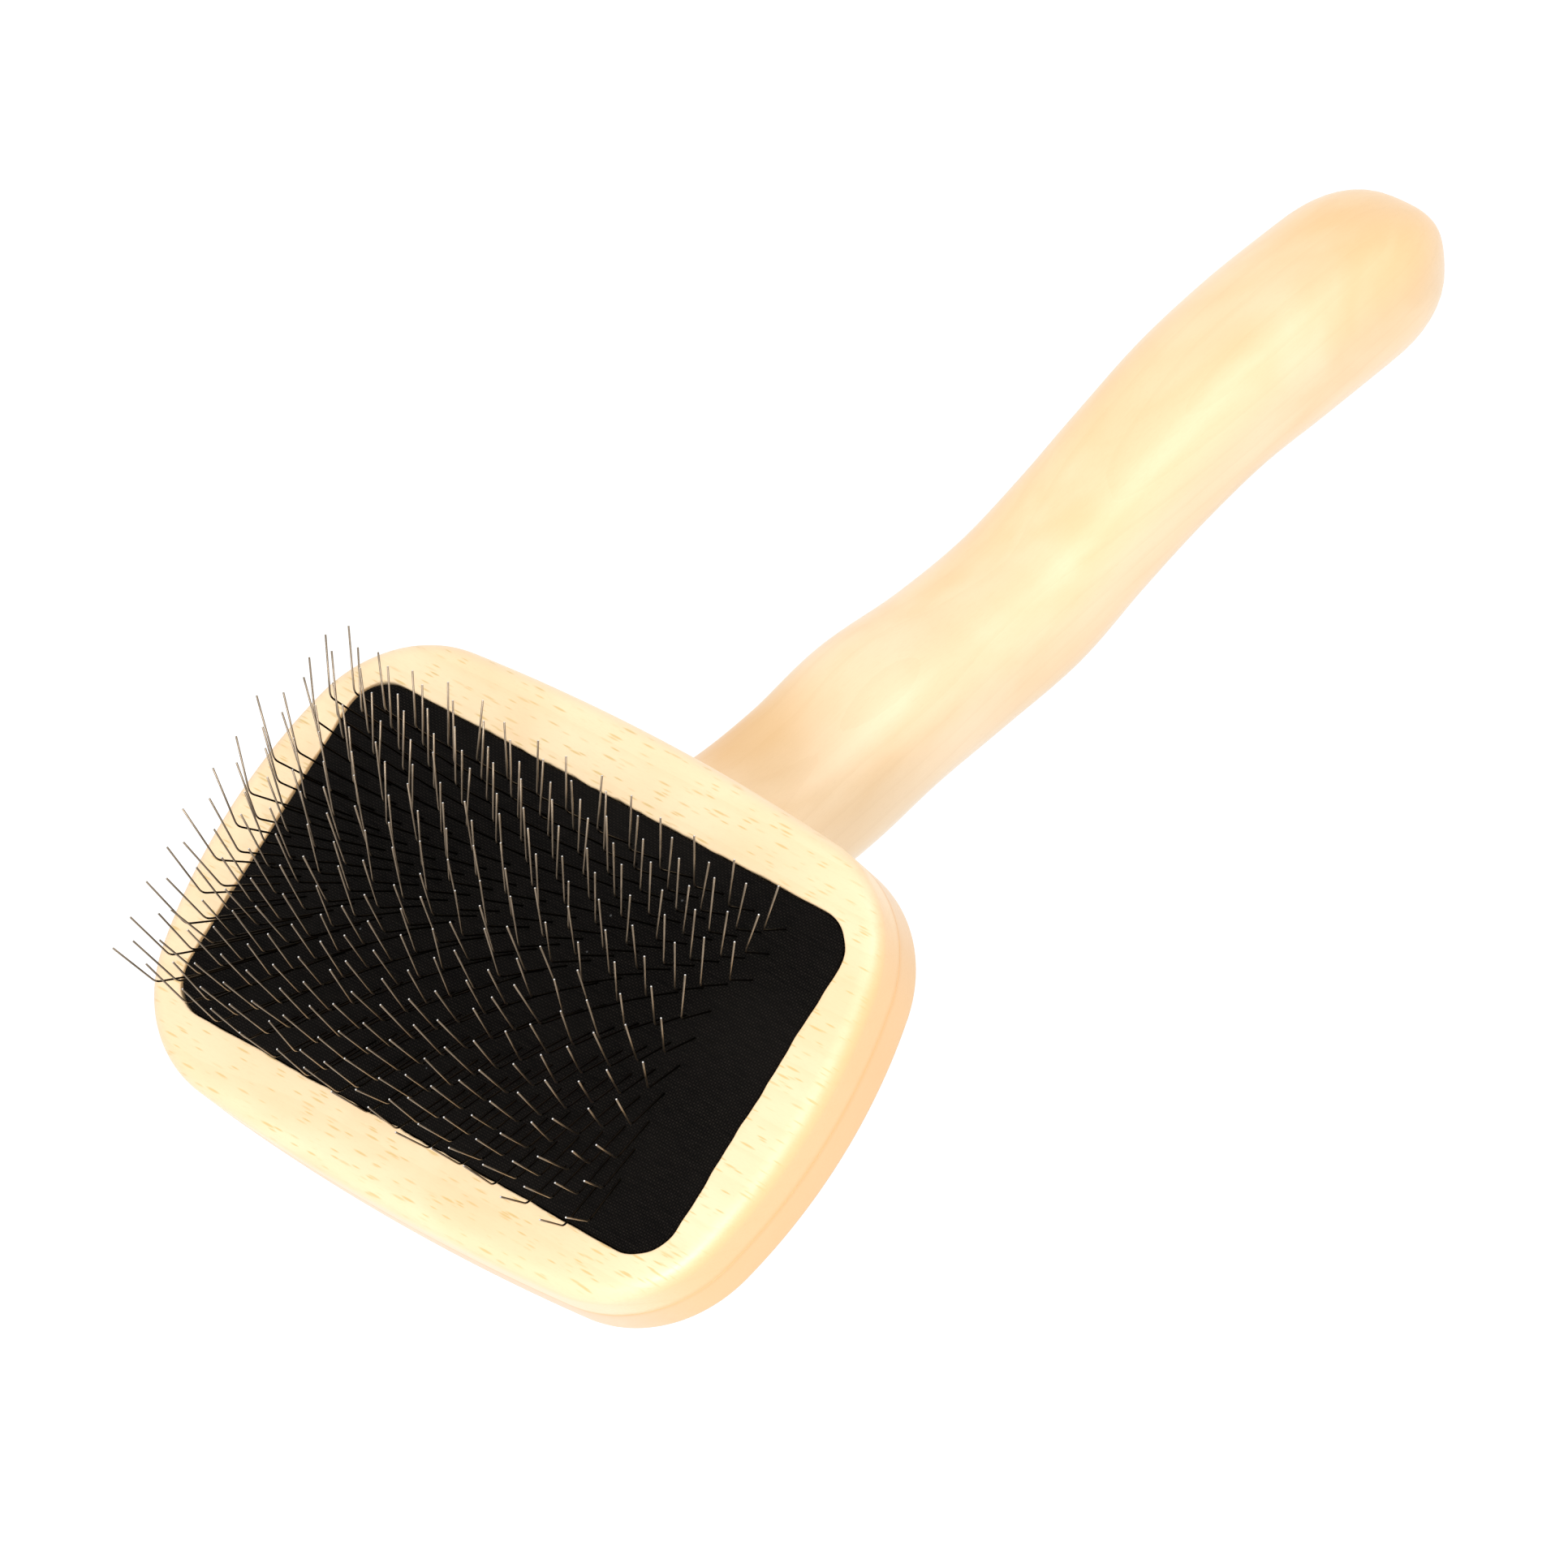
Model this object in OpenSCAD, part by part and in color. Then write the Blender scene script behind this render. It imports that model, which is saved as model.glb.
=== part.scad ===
// Slicker brush: a sprung, domed pad of bent wire pins, held in a two-layer beech head
// that sits on a curved beech handle.
// X runs along the head's long side, Y towards the handle's end, Z out of the pad.
// The origin is the centre of the head's flat back face. Sizes are in millimetres.

/* [Head] */
// Width of the head along its long side
head_w = 95.2; // [92:0.2:100]
// Depth of the head, from its free edge to its handle edge
head_d = 65.2; // [62:0.2:70]
// Thickness of the back board
board_t = 5.6; // [5.2:0.1:7]
// Thickness of the front frame
frame_t = 5.9; // [5:0.1:7]
// Radius of the head's corners
corner_r = 18; // [14:1:20]
// Radius of the bow along the long sides
long_bow_r = 340; // [250:10:500]
// Radius of the bow along the short sides
short_bow_r = 70; // [60:5:120]
// Rounding of the head's front edge
front_round = 2.2; // [0.8:0.1:2.4]
// Rounding of the head's back edge
back_round = 1.2; // [1:0.1:3]
// Width of the fine groove along the glue line, on each layer
glue_bevel = 0.2; // [0.1:0.05:0.4]

/* [Pad] */
// Width of the frame's opening
open_w = 80; // [78:0.5:82]
// Depth of the frame's opening
open_d = 47; // [45:0.5:49]
// Corner radius of the opening
open_r = 5.7; // [5:0.1:7]
// Depth of the pad's edge below the frame's face
edge_drop = 0.5; // [0.2:0.1:1]
// Height of the dome's middle above the pad's edge
dome_h = 5; // [3:0.5:6]
// Fullness of the dome: a higher value is flatter on top and steeper at the edge
dome_power = 2.4; // [2:0.1:3]
// Thickness of the woven face cloth
face_t = 0.5; // [0.3:0.1:0.8]
// Thickness of the rubberised foundation cloth
foundation_t = 1.5; // [1:0.1:1.8]
// Running gap between the moving pad and the frame
pad_gap = 0.3; // [0.3:0.1:0.5]

/* [Pins] */
// Diameter of the wire
wire_d = 0.25; // [0.2:0.01:0.35]
// Length of a pin from the cloth to its knee
base_len = 8.1; // [6:0.1:10]
// Length of a pin from its knee to its tip
tip_len = 8; // [5:0.1:9]
// Lean of the lower length at the pad's middle, positive towards the handle
base_lean = -30; // [-32:1:-20]
// Bend at the knee, towards the handle
knee_bend = 50; // [40:1:55]
// Spread of the pins along X near the middle, in degrees for each millimetre
fan_x = 0.15; // [0:0.05:0.4]
// Further spread along X, in degrees at 30 mm from the middle
end_fan = 9.5; // [0:0.5:10]
// Spread of the pins along Y near the middle, in degrees for each millimetre
fan_y = 1.95; // [1:0.05:2]
// How far that spread eases off, in degrees at 17.5 mm from the middle
fan_ease = 12.5; // [10:0.5:16]
// Change of the lean along X, in degrees for each millimetre
skew = -0.2; // [-0.25:0.05:0]
// Number of rows of staples
pin_rows = 21; // [16:1:21]
// Distance between rows
row_pitch = 1.86; // [1.8:0.01:1.9]
// Distance of the rows' middle from the pad's middle
rows_shift = 0.8; // [0:0.1:1]
// Number of staples in a row
staples = 7; // [5:1:7]
// Distance between the two legs of a staple, and from one staple to the next
leg_pitch = 4.86; // [4.4:0.02:4.9]
// Step sideways from each row to the next
twill_step = 2.35; // [2:0.05:2.8]
// Start of the rows, from the pad's middle
field_start = -36.4; // [-37:0.1:-35]

/* [Handle] */
// Fullness of the handle's section: 2 is an ellipse, higher is squarer
section_power = 2.9; // [2.4:0.1:3.4]
// Length of the rounded end
end_len = 16.6; // [12:0.2:20]

/* [Screws] */
// Diameter of the screws' shank
screw_d = 3; // [2.5:0.1:3.5]
// Length of the screws
screw_len = 15; // [12:1:16]
// Distance between the two screws
screw_spacing = 10; // [8:0.5:11]

/* [Hidden] */
head_t = board_t + frame_t;

// Bowed outline: four large arcs, joined by corner arcs.
half_w = head_w / 2;
half_d = head_d / 2;
short_c = [half_w - short_bow_r, 0];
long_c = [0, half_d - long_bow_r];
short_in = short_bow_r - corner_r;
long_in = long_bow_r - corner_r;
arc_span = norm(long_c - short_c);
arc_along = (arc_span * arc_span + short_in * short_in - long_in * long_in) / (2 * arc_span);
arc_dir = (long_c - short_c) / arc_span;
corner_c = short_c + arc_along * arc_dir
    + sqrt(short_in * short_in - arc_along * arc_along) * [-arc_dir[1], arc_dir[0]];
short_end = atan2(corner_c[1] - short_c[1], corner_c[0] - short_c[0]);
long_start = atan2(corner_c[1] - long_c[1], corner_c[0] - long_c[0]);
corner_steps = 9;
outline_angles = concat(
    [0, short_end / 3, short_end * 2 / 3],
    [for (i = [0:corner_steps]) short_end + (long_start - short_end) * i / corner_steps],
    [long_start + (90 - long_start) / 3, long_start + (90 - long_start) * 2 / 3, 90]);
round_steps = 5;

// Pad: its layers from the top down, and the pocket that holds the foam.
edge_z = head_t - edge_drop;
cloth_t = face_t + foundation_t;
pocket_depth = 2.1;
pocket_z = board_t - pocket_depth;
foam_gap = 0.8;
foam_inset = 1;
pocket_inset = 0.7;
margin_w = 2.2;
margin_t = 1.4;
margin_gap = 0.15;
dome_rings = [1, 0.93, 0.82, 0.68, 0.52, 0.35, 0.17];

// Pins: two legs and a crown of one wire.
wire_sides = 6;
wire_r = wire_d / 2 * 1.06;
crown_drop = cloth_t + wire_d / 2 + 0.04;
first_row_y = rows_shift - row_pitch * (pin_rows - 1) / 2;

// Handle: its centre line and section, as [y, z, width, thickness].
// The first row lies inside the head, where the foot is cut flat.
HANDLE = [
    [9, 7.5, 20, 17.5],
    [15, 0, 20, 17.5],
    [22.5, -8.3, 20.2, 17.8],
    [31, -16.8, 20.5, 18.3],
    [41.5, -23.3, 20.6, 18.6],
    [52.5, -28.3, 20.8, 18.8],
    [64, -35.7, 20, 17.8],
    [75.5, -42.1, 19.9, 17.6],
    [87, -45.8, 19.5, 17.2],
    [98.5, -49.3, 19.8, 17.6],
    [110.5, -53.7, 20.6, 18.4],
    [121.7, -59.7, 21.3, 19.2],
    [132.4, -66.1, 21.3, 19.2]
];
handle_steps = 3;
section_sides = 28;
cap_angles = [12, 26, 40, 54, 66, 77, 85];
cap_power = 2.4;

// Screws: from the pocket's floor down into the handle's foot.
screw_y = 17;
screw_head_d = 6;
screw_head_h = 1.5;
screw_bite = 0.25;

function unit(v) = v / norm(v);

// A whole ring of points from those of its first quarter.
function ring(quarter) = let (n = len(quarter)) concat(
    [for (i = [0:n - 2]) quarter[i]],
    [for (i = [n - 1:-1:1]) [-quarter[i][0], quarter[i][1]]],
    [for (i = [0:n - 2]) [-quarter[i][0], -quarter[i][1]]],
    [for (i = [n - 1:-1:1]) [quarter[i][0], -quarter[i][1]]]);

function head_core(a) =
    a < short_end ? short_c + short_in * [cos(a), sin(a)]
    : a > long_start ? long_c + long_in * [cos(a), sin(a)]
    : corner_c;

// The head's outline, moved in by inset, at height z.
function head_ring(inset, z) =
    let (quarter = [for (a = outline_angles) head_core(a) + (corner_r - inset) * [cos(a), sin(a)]])
    [for (p = ring(quarter)) [p[0], p[1], z]];

// The pad's outline, moved in by inset, with points along its sides.
function pad_outline(inset) =
    let (w = open_w / 2 - inset, d = open_d / 2 - inset, r = open_r - inset)
    ring(concat(
        [for (i = [0:2]) [w, (d - r) * i / 3]],
        [for (a = [0:22.5:90]) [w - r + r * cos(a), d - r + r * sin(a)]],
        [for (i = [1:5]) [(w - r) * (1 - i / 5), d]]));

// Height of the pad's outer surface.
function dome(x, y) = edge_z
    + dome_h * (1 - pow(min(1, abs(2 * x / open_w)), dome_power))
             * (1 - pow(min(1, abs(2 * y / open_d)), dome_power));

function dome_ring(outline, s, drop) =
    [for (p = outline) [p[0] * s, p[1] * s, dome(p[0] * s, p[1] * s) - drop]];

// Closes a stack of rings into a solid. Each ring turns anticlockwise seen from the last one.
module skin(rings) {
    n = len(rings[0]);
    last = (len(rings) - 1) * n;
    polyhedron(
        points = [for (r = rings) each r],
        faces = concat(
            [[for (i = [0:n - 1]) i]],
            [for (k = [0:len(rings) - 2], i = [0:n - 1])
                let (a = k * n + i, b = k * n + (i + 1) % n) each [[a, a + n, b + n], [a, b + n, b]]],
            [[for (i = [n - 1:-1:0]) last + i]]));
}

// Closes a stack of rings with a point at each end, for ends that aren't flat.
module pointed_skin(first, rings, end) {
    n = len(rings[0]);
    last = 1 + (len(rings) - 1) * n;
    tip = last + n;
    polyhedron(
        points = concat([first], [for (r = rings) each r], [end]),
        faces = concat(
            [for (i = [0:n - 1]) [0, 1 + i, 1 + (i + 1) % n]],
            [for (k = [0:len(rings) - 2], i = [0:n - 1])
                let (a = 1 + k * n + i, b = 1 + k * n + (i + 1) % n)
                each [[a, a + n, b + n], [a, b + n, b]]],
            [for (i = [0:n - 1]) [last + (i + 1) % n, last + i, tip]]));
}

module beech() { color([0.95, 0.83, 0.62]) children(); }

module rounded_block(w, d, r, z, h) {
    translate([0, 0, z]) linear_extrude(h) {
        square([w - 2 * r, d], center = true);
        square([w, d - 2 * r], center = true);
        for (sx = [-1, 1], sy = [-1, 1])
            translate([sx * (w / 2 - r), sy * (d / 2 - r)]) circle(r, $fn = 64);
    }
}

// A block of the opening's outline, grown by grow on every side.
module opening_block(grow, z, h) {
    rounded_block(open_w + 2 * grow, open_d + 2 * grow, open_r + grow, z, h);
}

module screw_shape(grow, bottom) {
    r = screw_d / 2 + grow;
    rotate_extrude($fn = 48) polygon([
        [0, 0], [screw_head_d / 2, 0], [r, -screw_head_h], [r, -bottom + r * 1.5], [0, -bottom]]);
}

module at_screws() {
    for (side = [-1, 1]) translate([side * screw_spacing / 2, screw_y, pocket_z]) children();
}

// Section of the handle at control row t, which may lie between rows.
function spline(t) =
    let (i = min(floor(t), len(HANDLE) - 2), u = t - i,
         a = HANDLE[max(i - 1, 0)], b = HANDLE[i], c = HANDLE[i + 1],
         d = HANDLE[min(i + 2, len(HANDLE) - 1)])
    b + (c - a) * u / 2 + (2 * a - 5 * b + 4 * c - d) * u * u / 2
      + (3 * b - a - 3 * c + d) * u * u * u / 2;

function handle_dir(t) = let (e = 0.05,
    a = spline(max(t - e, 0)), b = spline(min(t + e, len(HANDLE) - 1)))
    unit([b[0] - a[0], b[1] - a[1]]);

// One section: superellipse of half sizes hw and ht about c, across the direction dir.
function section(c, dir, hw, ht) =
    [for (i = [0:section_sides - 1])
        let (a = 360 * i / section_sides, u = cos(a), v = sin(a), p = 2 / section_power,
             x = hw * sign(u) * pow(abs(u), p), n = ht * sign(v) * pow(abs(v), p))
        [x, c[0] - n * dir[1], c[1] + n * dir[0]]];

module handle_skin() {
    count = (len(HANDLE) - 1) * handle_steps;
    end = spline(len(HANDLE) - 1);
    dir = handle_dir(len(HANDLE) - 1);
    body = [for (i = [0:count])
        let (t = i / handle_steps, s = spline(t))
        section([s[0], s[1]], handle_dir(t), s[2] / 2, s[3] / 2)];
    cap = [for (a = cap_angles)
        let (along = end_len * pow(sin(a), 2 / cap_power), k = pow(cos(a), 2 / cap_power))
        section([end[0], end[1]] + along * dir, dir, k * end[2] / 2, k * end[3] / 2)];
    skin([for (r = concat(body, cap)) [for (i = [section_sides - 1:-1:0]) r[i]]]);
}

module handle() {
    beech() difference() {
        handle_skin();
        translate([-head_w / 2, -head_d, 0]) cube([head_w, 3 * head_d, head_t * 3]);
        at_screws() screw_shape(-screw_bite, screw_len);
    }
}

module back_board() {
    beech() difference() {
        skin(concat(
            [for (i = [0:round_steps]) let (a = 90 * i / round_steps)
                head_ring(back_round * (1 - sin(a)), back_round * (1 - cos(a)))],
            [head_ring(0, board_t - glue_bevel), head_ring(glue_bevel, board_t)]));
        opening_block(-pocket_inset, pocket_z, pocket_depth + 1);
        at_screws() screw_shape(0, screw_len);
    }
}

module front_frame() {
    beech() difference() {
        skin(concat(
            [head_ring(glue_bevel, board_t), head_ring(0, board_t + glue_bevel)],
            [for (i = [0:round_steps]) let (a = 90 * i / round_steps)
                head_ring(front_round * (1 - cos(a)), head_t - front_round * (1 - sin(a)))]));
        opening_block(0, board_t - 1, frame_t + 2);
        opening_block(margin_w + margin_gap, board_t - 1, margin_t + 1);
    }
}

module handle_screws() {
    color([0.75, 0.72, 0.62]) at_screws() difference() {
        screw_shape(0, screw_len);
        for (turn = [0, 90]) rotate(turn)
            translate([-1.6, -0.3, -0.9]) cube([3.2, 0.6, 2]);
    }
}

module foam_cushion() {
    outline = pad_outline(foam_inset);
    color([0.25, 0.25, 0.26]) pointed_skin(
        [0, 0, pocket_z],
        concat([[for (p = outline) [p[0], p[1], pocket_z]]],
               [for (s = dome_rings) dome_ring(outline, s, cloth_t + foam_gap)]),
        [0, 0, dome(0, 0) - cloth_t - foam_gap]);
}

module cloth_margin() {
    color([0.08, 0.08, 0.09]) difference() {
        opening_block(margin_w, board_t, margin_t);
        opening_block(0, board_t - 1, margin_t + 2);
    }
}

// A layer of the moving pad, between two depths below its outer surface.
module pad_layer(top, bottom) {
    outline = pad_outline(pad_gap);
    up = len(dome_rings) - 1;
    pointed_skin(
        [0, 0, dome(0, 0) - bottom],
        concat([for (i = [up:-1:0]) dome_ring(outline, dome_rings[i], bottom)],
               [for (i = [0:up]) dome_ring(outline, dome_rings[i], top)]),
        [0, 0, dome(0, 0) - top]);
}

module foundation_cloth() { color([0.1, 0.1, 0.1]) pad_layer(face_t, cloth_t); }

module face_cloth() { color([0.05, 0.05, 0.055]) pad_layer(0, face_t); }

// Direction of a pin's lower length at (x, y), or of its upper length with the bend added.
function pin_dir(x, y, bend) =
    let (a = fan_x * x + end_fan * pow(x / 30, 3),
         b = base_lean + bend + skew * x + fan_y * y - fan_ease * pow(y / 17.5, 3))
    [sin(a), sin(b) * cos(a), cos(b) * cos(a)];

// Where a leg that leaves the cloth at e, along b, meets the crown under the foundation.
function crown_end(e, b) =
    let (p = e - b * crown_drop / b[2], depth = dome(p[0], p[1]) - p[2])
    e - b * crown_drop / b[2] * crown_drop / depth;

// Crown end, knee and tip of the leg that leaves the cloth at (x, y).
function leg(x, y) =
    let (e = [x, y, dome(x, y)], b = pin_dir(x, y, 0), knee = e + b * base_len)
    [crown_end(e, b), knee, knee + pin_dir(x, y, knee_bend) * tip_len];

// One wire along a path of points that lie roughly across Y.
module wire(path) {
    last = len(path) - 1;
    skin([for (i = [0:last])
        let (along = unit(path[min(i + 1, last)] - path[max(i - 1, 0)]),
             n = unit(cross(along, [0, 1, 0])), m = cross(along, n))
        [for (k = [0:wire_sides - 1]) let (a = 360 * k / wire_sides)
            path[i] + wire_r * (cos(a) * n + sin(a) * m)]]);
}

module staple(x, y) {
    a = leg(x, y);
    b = leg(x + leg_pitch, y);
    wire([a[2], a[1], a[0], b[0], b[1], b[2]]);
}

module pin_row(i) {
    start = field_start + (1.2 + (i - 1) * twill_step) % leg_pitch;
    color([0.8, 0.79, 0.76])
        for (k = [0:staples - 1])
            staple(start + k * 2 * leg_pitch, first_row_y + (i - 1) * row_pitch);
}

handle();
back_board();
front_frame();
handle_screws();
foam_cushion();
cloth_margin();
foundation_cloth();
face_cloth();
for (i = [1:pin_rows]) pin_row(i);
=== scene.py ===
"""Looks of the slicker brush: beech head and handle, black woven pad and wire pins.

Lengths are in metres unless a name ends in _MM. The shapes follow the CAD frame: every piece
stands for one or more of its nodes, and each pin runs where its CAD wire runs. Patterns in the
materials are drawn in millimetres.
"""
import math

import bmesh
import bpy
import numpy as np
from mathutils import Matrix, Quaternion, Vector


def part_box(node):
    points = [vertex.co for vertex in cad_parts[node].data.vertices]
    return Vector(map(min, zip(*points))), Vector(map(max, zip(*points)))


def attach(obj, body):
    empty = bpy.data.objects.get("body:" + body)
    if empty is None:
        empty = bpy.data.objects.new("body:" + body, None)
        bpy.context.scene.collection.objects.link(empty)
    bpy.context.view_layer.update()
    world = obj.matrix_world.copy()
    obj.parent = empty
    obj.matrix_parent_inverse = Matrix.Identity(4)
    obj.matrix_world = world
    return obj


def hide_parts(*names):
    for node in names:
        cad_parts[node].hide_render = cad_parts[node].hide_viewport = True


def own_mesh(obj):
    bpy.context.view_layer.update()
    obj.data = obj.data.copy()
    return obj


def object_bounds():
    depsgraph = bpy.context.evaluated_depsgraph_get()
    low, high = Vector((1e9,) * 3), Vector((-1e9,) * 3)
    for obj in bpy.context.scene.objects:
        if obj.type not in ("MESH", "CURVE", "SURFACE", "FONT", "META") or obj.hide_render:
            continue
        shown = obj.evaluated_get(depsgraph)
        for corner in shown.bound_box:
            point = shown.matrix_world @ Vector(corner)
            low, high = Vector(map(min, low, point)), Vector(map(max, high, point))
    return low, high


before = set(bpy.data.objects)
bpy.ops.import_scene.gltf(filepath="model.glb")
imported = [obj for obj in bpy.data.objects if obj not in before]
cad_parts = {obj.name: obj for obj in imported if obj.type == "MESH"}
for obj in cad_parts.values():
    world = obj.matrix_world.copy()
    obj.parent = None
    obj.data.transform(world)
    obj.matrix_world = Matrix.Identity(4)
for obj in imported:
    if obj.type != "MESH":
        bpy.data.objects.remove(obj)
cad_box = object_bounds()

MM = 0.001
SEED = 11  # of the random draws for the pins and the foam
SHARP_ANGLE = math.radians(42)  # faces that meet at more than this keep a crisp edge

# Camera: the photograph's viewing angle, from far away with a long lens.
CAMERA_PLACE = Vector((0.7550, -0.1147, 1.1284))
CAMERA_AIM = Vector((0.0199, 0.0345, 0.0115))
CAMERA_ROLL = math.radians(-48.56)
CAMERA_LENS_MM = 260.87
SENSOR_MM = 36

# Light: a white world and two softboxes, each with its place, side and power in watts.
WORLD_STRENGTH = 0.9
SOFTBOXES = {
    "key": ((0.42, -0.42, 0.72), 0.4, 5.2),
    "ridge": ((0.46, 0.96, 0.79), 0.8, 3.8),
}
LIGHT_AIM = Vector((0, 0.03, 0))
FLOOR_SIDE = 6.0
FLOOR_DROP = 1 * MM

# Head: its size comes from the frame, and its curves are the CAD's. Its flat back is at Z = 0.
FRAME_LOW, FRAME_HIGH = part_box("front_frame")
HEAD_W = FRAME_HIGH.x - FRAME_LOW.x
HEAD_D = FRAME_HIGH.y - FRAME_LOW.y
BACK_Z = 0
GLUE_Z = FRAME_LOW.z
HEAD_Z = FRAME_HIGH.z
CORNER_R = 18 * MM
LONG_BOW_R = 340 * MM
SHORT_BOW_R = 70 * MM
FRONT_ROUND = 2.2 * MM
BACK_ROUND = 1.2 * MM
GLUE_BEVEL = 0.06 * MM
OUTLINE_POINTS = 480
ROUND_STEPS = 10
EDGE_ROUND = 0.25 * MM
EDGE_WAVE = 0.07 * MM
# The opening's edge waves this many times round the ring, with this phase and share.
RIPPLES = [(17, 1, 1.0), (41, 2, 0.6), (83, 0, 0.35)]

# Opening and pad. The cloth's edge starts at EDGE_Z, and its dome rises DOME_H above it.
PAD_LOW, PAD_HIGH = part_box("face_cloth")
PAD_GAP = 0.3 * MM
OPEN_W = PAD_HIGH.x - PAD_LOW.x + 2 * PAD_GAP
OPEN_D = PAD_HIGH.y - PAD_LOW.y + 2 * PAD_GAP
OPEN_R = 5.7 * MM
SKIN_GAP = 0.2 * MM
EDGE_Z = HEAD_Z - 0.15 * MM
DOME_H = PAD_HIGH.z - EDGE_Z
DOME_POWER = 2.4
CLOTH_T = 2 * MM
MARGIN_T = 1.4 * MM
MARGIN_RECESS = 2.35 * MM
POCKET_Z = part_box("foam_cushion")[0].z
POCKET_INSET = 0.7 * MM
FOAM_GAP = 0.8 * MM
FOAM_INSET = 1 * MM
FOAM_UNEVEN = 0.12 * MM
CLOTH_ROLL = 0.3 * MM
PUCKER_R = 0.75 * MM
PUCKER_DEPTH = 0.1 * MM

# Pins.
WIRE_R = 0.125 * MM
WIRE_SIDES = 10
BEND_STEPS = 5
BEND_R = 0.7 * MM
KNEE_SPREAD = 0.13 * MM
TIP_SPREAD = 0.32 * MM
CUT_CHAMFER = 0.03 * MM
CUT_SHARE = 0.8
PIN_ROWS = sum(name.startswith("pin_row_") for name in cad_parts)

# Handle: the CAD's control rows, as y, z, width and thickness in millimetres. Sections and end
# cap are superellipses of these powers. CAP_ANGLES are the places of the cap's rings, in degrees.
HANDLE_MM = [
    (9, 7.5, 20, 17.5), (15, 0, 20, 17.5), (22.5, -8.3, 20.2, 17.8), (31, -16.8, 20.5, 18.3),
    (41.5, -23.3, 20.6, 18.6), (52.5, -28.3, 20.8, 18.8), (64, -35.7, 20, 17.8),
    (75.5, -42.1, 19.9, 17.6), (87, -45.8, 19.5, 17.2), (98.5, -49.3, 19.8, 17.6),
    (110.5, -53.7, 20.6, 18.4), (121.7, -59.7, 21.3, 19.2), (132.4, -66.1, 21.3, 19.2),
]
ROW_STEPS = 10
SECTION_SIDES = 72
SECTION_POWER = 2.9
CAP_POWER = 2.4
END_LEN = 16.6 * MM
CAP_ANGLES = [6, 12, 18, 25, 32, 39, 46, 53, 59, 65, 71, 76, 81, 85, 88]


# ---------------------------------------------------------------- meshes

def make_object(name, points, faces, smooth=True):
    """A mesh object from points and faces, with its normals turned outwards."""
    mesh = bpy.data.meshes.new(name)
    mesh.from_pydata([tuple(p) for p in points], [], faces)
    mesh.update()
    work = bmesh.new()
    work.from_mesh(mesh)
    bmesh.ops.recalc_face_normals(work, faces=work.faces)
    work.to_mesh(mesh)
    work.free()
    mesh.polygons.foreach_set("use_smooth", [smooth] * len(mesh.polygons))
    mesh.set_sharp_from_angle(angle=SHARP_ANGLE)
    made = bpy.data.objects.new(name, mesh)
    bpy.context.collection.objects.link(made)
    return made


def ring_faces(rings, count, loop=False):
    """Quads between successive rings of count points each."""
    faces = []
    for k in range(rings if loop else rings - 1):
        a, b = k * count, (k + 1) % rings * count
        faces += [(a + i, a + (i + 1) % count, b + (i + 1) % count, b + i) for i in range(count)]
    return faces


def fan(centre, ring_start, count):
    """Triangles from one point to a ring."""
    return [(centre, ring_start + i, ring_start + (i + 1) % count) for i in range(count)]


def lofted(name, rings, first=None, last=None, loop=False):
    """A solid through rings of points, closed by a point at either end or back on itself."""
    count = len(rings[0])
    points = np.concatenate(rings)
    faces = ring_faces(len(rings), count, loop=loop)
    for end, start in ((first, 0), (last, (len(rings) - 1) * count)):
        if end is not None:
            faces += fan(len(points), start, count)
            points = np.vstack([points, end])
    return make_object(name, points, faces)


def at_height(outline, z):
    """A flat outline as a ring of points at one height."""
    return np.column_stack([outline, np.full(len(outline), z)])


def outline_steps():
    """The head's outline as arc centres, radii before the corner's, and directions."""
    short_c = np.array([HEAD_W / 2 - SHORT_BOW_R, 0])
    long_c = np.array([0, HEAD_D / 2 - LONG_BOW_R])
    short_in, long_in = SHORT_BOW_R - CORNER_R, LONG_BOW_R - CORNER_R
    span = np.linalg.norm(long_c - short_c)
    along = (span ** 2 + short_in ** 2 - long_in ** 2) / (2 * span)
    towards = (long_c - short_c) / span
    corner = (short_c + along * towards
              + math.sqrt(short_in ** 2 - along ** 2) * np.array([-towards[1], towards[0]]))
    short_end = math.atan2(*(corner - short_c)[::-1])
    long_start = math.atan2(*(corner - long_c)[::-1])
    arcs = [(short_c, short_in, 0, short_end, SHORT_BOW_R),
            (corner, 0, short_end, long_start, CORNER_R),
            (long_c, long_in, long_start, math.pi / 2, LONG_BOW_R)]
    lengths = [radius * (b - a) for _, _, a, b, radius in arcs]
    cores, dirs = [], []
    for (centre, inner, a, b, _), length in zip(arcs, lengths):
        steps = round(OUTLINE_POINTS / 4 * length / sum(lengths))
        angles = a + (b - a) * np.arange(steps) / steps
        turn = np.column_stack([np.cos(angles), np.sin(angles)])
        cores.append(centre + inner * turn)
        dirs.append(turn)
    core, turn = np.vstack(cores), np.vstack(dirs)
    return mirrored(core, [0, long_c[1] + long_in]), mirrored(turn, [0, 1])


def mirrored(quarter, top):
    """A whole ring from its first quarter, which starts on the X axis and stops before top."""
    back = quarter[:0:-1]
    return np.vstack([quarter, [top], back * [-1, 1], quarter[:1] * [-1, 1],
                      quarter[1:] * [-1, -1], [np.multiply(top, [1, -1])], back * [1, -1]])


CORE, TURN = outline_steps()


def head_outline(inset):
    """The head's outline, moved in by inset."""
    return CORE + (CORNER_R - inset) * TURN


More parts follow.
